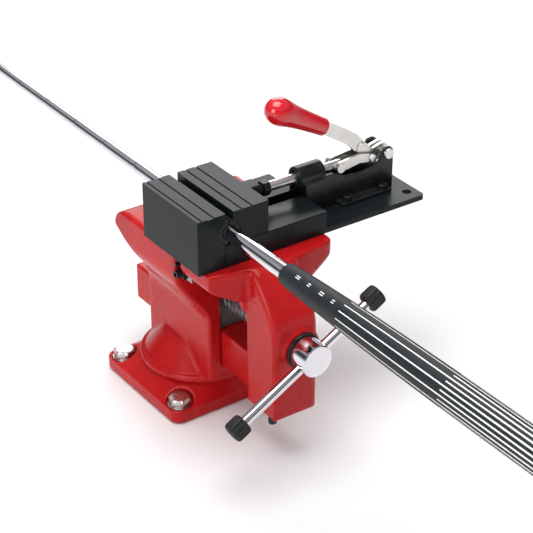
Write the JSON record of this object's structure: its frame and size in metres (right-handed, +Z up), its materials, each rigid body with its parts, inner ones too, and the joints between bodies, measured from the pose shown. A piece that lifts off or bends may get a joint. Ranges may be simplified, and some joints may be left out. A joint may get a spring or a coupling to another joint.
{
  "type": "golf club regripping station",
  "caption": "Swivel bench vise holding a quick-release toggle fixture that grips a golf club's steel shaft between rubber-lined blocks for fitting its grip",
  "frame": {"origin": "middle of the vise base's underside, on the swivel axis", "axes": "+X along the clamp fixture towards its toggle clamp, +Y along the club from grip to bare tip, +Z up"},
  "size_m": [0.2689, 0.9877, 0.3069],
  "materials": {
    "red_enamel": "glossy red enamel over a slightly grainy iron casting",
    "chrome": "bright chrome plate",
    "bright_zinc": "bright zinc plate",
    "clamp_zinc": "satin zinc plate",
    "jaw_steel": "ground hardened steel",
    "screw_steel": "oiled turned steel",
    "cast_nut": "bare cast iron",
    "black_oxide": "black oxide",
    "black_anodised": "satin black anodised aluminium",
    "black_casting": "semi-gloss black enamel",
    "black_rubber": "matt black rubber",
    "grip_rubber": "matt black rubber",
    "grip_tape": "double-sided paper tape",
    "red_vinyl": "glossy dipped red vinyl",
    "white_paint": "white paint fill"
  },
  "bodies": {
    "base": {"swivel_base": "red_enamel", "bench_bolts": "bright_zinc", "bench_washers": "bright_zinc"},
    "vise_body": {"fixed_jaw_body": "red_enamel", "fixed_jaw_plate": "jaw_steel", "fixed_plate_screws": "black_oxide", "swivel_lock_bolts": "bright_zinc", "swivel_lock_nuts": "bright_zinc", "spindle_nut": "cast_nut", "keel": "black_anodised", "keel_end_screws": "black_oxide", "fixture_plate": "black_anodised", "slide_deck": "black_anodised", "deck_screws": "black_oxide", "fixed_block": "black_anodised", "fixed_liner": "black_rubber", "clamp_bracket": "black_casting", "clamp_screws": "black_oxide", "lever_pivot_pin": "clamp_zinc"},
    "moving_jaw": {"moving_jaw_body": "red_enamel", "moving_jaw_plate": "jaw_steel", "moving_plate_screws": "black_oxide", "arm_foot": "black_oxide"},
    "main_screw": {"main_screw": "screw_steel", "screw_head": "chrome", "thrust_collar": "black_oxide", "screw_retaining_ring": "black_oxide"},
    "handle": {"handle_bar": "chrome", "handle_caps": "black_rubber"},
    "slide_block": {"sliding_block": "black_anodised", "sliding_liner": "black_rubber", "slide_key": "black_anodised", "drive_lug": "black_anodised", "clamp_spindle": "black_oxide", "jam_nut": "black_oxide", "plunger": "clamp_zinc", "plunger_pin": "clamp_zinc"},
    "lever": {"clamp_lever": "clamp_zinc", "lever_grip": "red_vinyl", "crank_pin": "clamp_zinc"},
    "links": {"side_links": "clamp_zinc"},
    "club": {"shaft": "chrome", "grip_tape": "grip_tape", "grip_sleeve": "grip_rubber", "grip_cap": "grip_rubber", "grip_lines": "white_paint"}
  },
  "joints": [
    {"name": "vise_swivel", "type": "hinge", "parent": "base", "child": "vise_body", "pos_m": [0, 0, 0.03], "axis": [0, 0, 1], "range_deg": [-180, 180]},
    {"name": "jaw_open", "type": "slide", "parent": "vise_body", "child": "moving_jaw", "axis": [0, -1, 0], "range_m": [0, 0.078]},
    {"name": "screw_turn", "type": "hinge", "parent": "moving_jaw", "child": "main_screw", "pos_m": [0, -0.17, 0.113], "axis": [0, -1, 0], "range_deg": [0, 4681]},
    {"name": "handle_slide", "type": "slide", "parent": "main_screw", "child": "handle", "axis": [0.8704, 0, 0.4924], "range_m": [-0.0518, 0.0658]},
    {"name": "lever_open", "type": "hinge", "parent": "vise_body", "child": "lever", "pos_m": [0.1595, -0.0657, 0.2255], "axis": [0, 1, 0], "range_deg": [0, 115]},
    {"name": "clamp_slide", "type": "slide", "parent": "vise_body", "child": "slide_block", "axis": [1, 0, 0], "range_m": [0, 0.0205]},
    {"name": "link_swing", "type": "hinge", "parent": "slide_block", "child": "links", "pos_m": [0.1085, -0.0657, 0.2225], "axis": [0, 1, 0], "range_deg": [-27, 0]},
    {"name": "club_turn", "type": "hinge", "parent": "vise_body", "child": "club", "pos_m": [-0.0387, 0, 0.2185], "axis": [0, 1, 0], "continuous": true}
  ],
  "couplings": [
    {"joint": "screw_turn", "follows": "jaw_open", "rad_per_m": 1047.2},
    {"joint": "clamp_slide", "follows": "lever_open", "m_per_rad": 0.01},
    {"joint": "link_swing", "follows": "lever_open", "ratio": -0.229}
  ]
}
